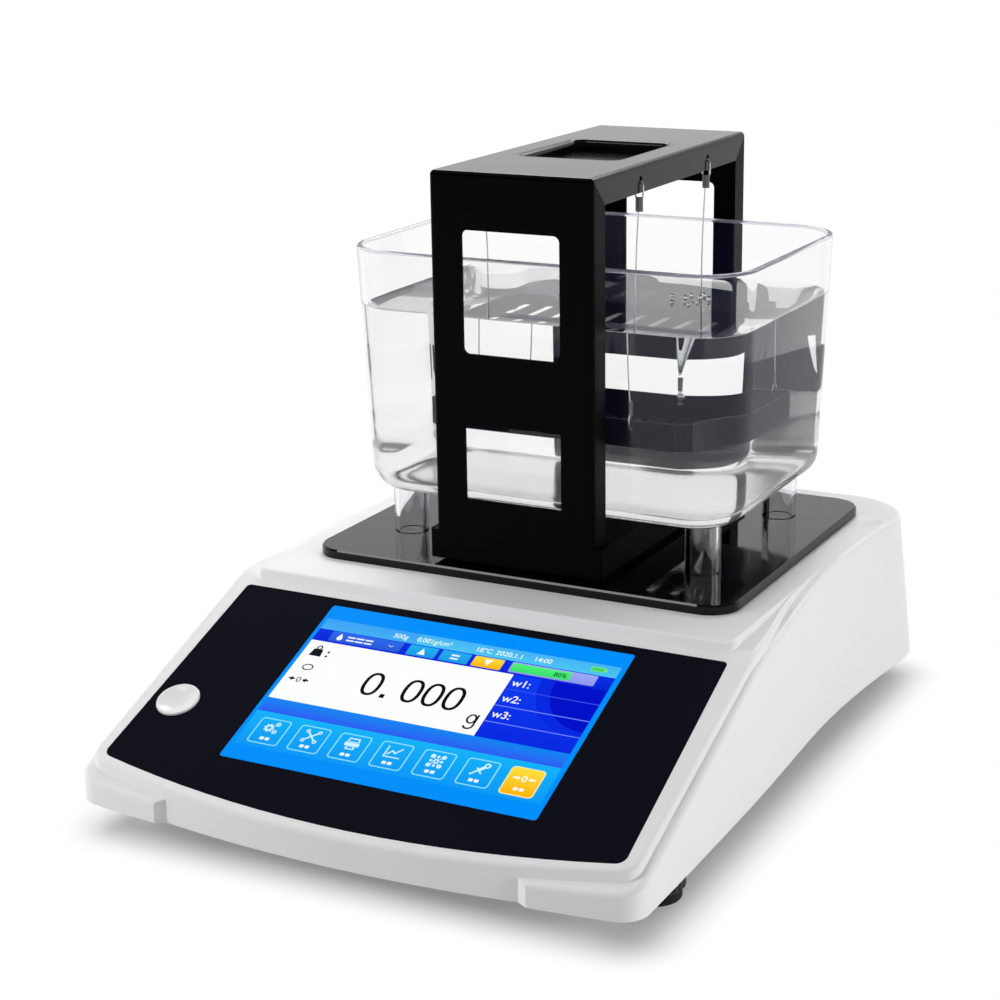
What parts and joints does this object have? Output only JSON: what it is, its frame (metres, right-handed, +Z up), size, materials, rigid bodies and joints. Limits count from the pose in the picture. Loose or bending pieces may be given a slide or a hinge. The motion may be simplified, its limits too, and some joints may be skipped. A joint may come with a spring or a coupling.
{
  "type": "benchtop density meter",
  "caption": "Benchtop density meter: white sloping housing with a touch screen, black weighing frame over a clear water tank, a tray hung on wires and levelling feet.",
  "frame": {"origin": "on the resting surface, on the mirror plane, halfway along the whole length", "axes": "+Z up, +X to the right seen from the front, +Y to the rear"},
  "size_m": [0.2764, 0.3758, 0.278],
  "materials": {
    "cover_plastic": "satin moulded plastic, off-white",
    "overlay_black": "very dark blue-black polished panel",
    "display_blue": "lit display behind clear glass",
    "button_white": "white satin plastic",
    "plate_black": "polished black sheet with a light bevel",
    "frame_black": "fine textured black paint",
    "tray_black": "black plastic",
    "clear_acrylic": "clear moulded plastic",
    "wire_steel": "bright drawn wire",
    "sleeve_metal": "crimped sleeve",
    "wheel_black": "knurled black plastic",
    "pad_rubber": "matt rubber",
    "screw_steel": "zinc-plated steel",
    "post_steel": "turned steel",
    "bracket_steel": "zinc-plated sheet",
    "insert_brass": "turned brass",
    "cell_aluminium": "milled aluminium",
    "module_metal": "nickel-plated sheet",
    "board_green": "green solder mask",
    "black_plastic": "moulded black plastic"
  },
  "bodies": {
    "base": {"upper_cover": "cover_plastic", "bottom_cover": "cover_plastic", "cover_screws": "screw_steel", "foot_inserts": "insert_brass", "overlay_panel": "overlay_black", "touch_screen": "display_blue", "display_module": "module_metal", "display_bracket": "bracket_steel", "switch_body": "black_plastic", "tank_plate": "plate_black", "tank": "clear_acrylic", "tank_legs": "clear_acrylic", "load_cell": "cell_aluminium", "load_cell_mount": "cell_aluminium", "cell_screws": "screw_steel", "main_board": "board_green", "board_standoffs": "insert_brass", "board_components": "black_plastic", "battery_pack": "black_plastic", "power_inlet": "black_plastic", "data_port": "module_metal"},
    "weighing_frame": {"frame_front": "frame_black", "frame_rear": "frame_black", "frame_top": "frame_black", "sample_pan": "frame_black", "frame_base_bar": "frame_black", "bar_screws": "screw_steel", "load_posts": "post_steel", "load_carrier": "post_steel", "carrier_screws": "screw_steel"},
    "power_button": {"power_button": "button_white", "switch_plunger": "button_white"},
    "immersed_tray": {"immersed_tray": "tray_black"},
    "front_left_hanger": {"front_left_wire": "wire_steel", "front_left_sleeves": "sleeve_metal"},
    "front_right_hanger": {"front_right_wire": "wire_steel", "front_right_sleeves": "sleeve_metal"},
    "rear_left_hanger": {"rear_left_wire": "wire_steel", "rear_left_sleeves": "sleeve_metal"},
    "rear_right_hanger": {"rear_right_wire": "wire_steel", "rear_right_sleeves": "sleeve_metal"},
    "front_left_pad": {"front_left_foot_pad": "pad_rubber"},
    "front_left_screw": {"front_left_foot_screw": "wheel_black"},
    "front_right_pad": {"front_right_foot_pad": "pad_rubber"},
    "front_right_screw": {"front_right_foot_screw": "wheel_black"},
    "rear_left_pad": {"rear_left_foot_pad": "pad_rubber"},
    "rear_left_screw": {"rear_left_foot_screw": "wheel_black"},
    "rear_right_pad": {"rear_right_foot_pad": "pad_rubber"},
    "rear_right_screw": {"rear_right_foot_screw": "wheel_black"}
  },
  "joints": [
    {"name": "power_button_press", "type": "slide", "parent": "base", "child": "power_button", "axis": [0, 0.3665, -0.9304], "range_m": [0, 0.0012], "stiffness_N_per_m": 700, "springref_m": -0.0015},
    {"name": "load_cell_flex", "type": "slide", "parent": "base", "child": "weighing_frame", "axis": [0, 0, 1], "range_m": [-0.0005, 0.00015], "stiffness_N_per_m": 60000, "springref_m": 0.0002},
    {"name": "front_left_hanger_swing", "type": "hinge", "parent": "weighing_frame", "child": "front_left_hanger", "pos_m": [-0.04025, 0.0327, 0.27007], "axis": [0, 1, 0], "range_deg": [-4, 4]},
    {"name": "front_right_hanger_swing", "type": "hinge", "parent": "weighing_frame", "child": "front_right_hanger", "pos_m": [0.04025, 0.0327, 0.27007], "axis": [0, 1, 0], "range_deg": [-4, 4]},
    {"name": "rear_left_hanger_swing", "type": "hinge", "parent": "weighing_frame", "child": "rear_left_hanger", "pos_m": [-0.04025, 0.1116, 0.27007], "axis": [0, 1, 0], "range_deg": [-4, 4]},
    {"name": "rear_right_hanger_swing", "type": "hinge", "parent": "weighing_frame", "child": "rear_right_hanger", "pos_m": [0.04025, 0.1116, 0.27007], "axis": [0, 1, 0], "range_deg": [-4, 4]},
    {"name": "tray_level", "type": "hinge", "parent": "front_left_hanger", "child": "immersed_tray", "pos_m": [-0.04025, 0.0327, 0.15707], "axis": [0, 1, 0], "range_deg": [-4, 4]},
    {"name": "front_left_foot_height", "type": "slide", "parent": "base", "child": "front_left_pad", "axis": [0, 0, 1], "range_m": [-0.002, 0.002]},
    {"name": "front_left_foot_turn", "type": "hinge", "parent": "front_left_pad", "child": "front_left_screw", "pos_m": [-0.1175, -0.12275, 0.01], "axis": [0, 0, 1], "range_deg": [-720.5, 720.5]},
    {"name": "front_right_foot_height", "type": "slide", "parent": "base", "child": "front_right_pad", "axis": [0, 0, 1], "range_m": [-0.002, 0.002]},
    {"name": "front_right_foot_turn", "type": "hinge", "parent": "front_right_pad", "child": "front_right_screw", "pos_m": [0.1175, -0.12275, 0.01], "axis": [0, 0, 1], "range_deg": [-720.5, 720.5]},
    {"name": "rear_left_foot_height", "type": "slide", "parent": "base", "child": "rear_left_pad", "axis": [0, 0, 1], "range_m": [-0.002, 0.002]},
    {"name": "rear_left_foot_turn", "type": "hinge", "parent": "rear_left_pad", "child": "rear_left_screw", "pos_m": [-0.098, 0.16725, 0.01], "axis": [0, 0, 1], "range_deg": [-720.5, 720.5]},
    {"name": "rear_right_foot_height", "type": "slide", "parent": "base", "child": "rear_right_pad", "axis": [0, 0, 1], "range_m": [-0.002, 0.002]},
    {"name": "rear_right_foot_turn", "type": "hinge", "parent": "rear_right_pad", "child": "rear_right_screw", "pos_m": [0.098, 0.16725, 0.01], "axis": [0, 0, 1], "range_deg": [-720.5, 720.5]}
  ],
  "couplings": [
    {"joint": "tray_level", "follows": "front_left_hanger_swing", "ratio": -1},
    {"joint": "front_right_hanger_swing", "follows": "front_left_hanger_swing", "ratio": 1},
    {"joint": "rear_left_hanger_swing", "follows": "front_left_hanger_swing", "ratio": 1},
    {"joint": "rear_right_hanger_swing", "follows": "front_left_hanger_swing", "ratio": 1},
    {"joint": "front_left_foot_turn", "follows": "front_left_foot_height", "rad_per_m": 6283.2},
    {"joint": "front_right_foot_turn", "follows": "front_right_foot_height", "rad_per_m": 6283.2},
    {"joint": "rear_left_foot_turn", "follows": "rear_left_foot_height", "rad_per_m": 6283.2},
    {"joint": "rear_right_foot_turn", "follows": "rear_right_foot_height", "rad_per_m": 6283.2}
  ]
}
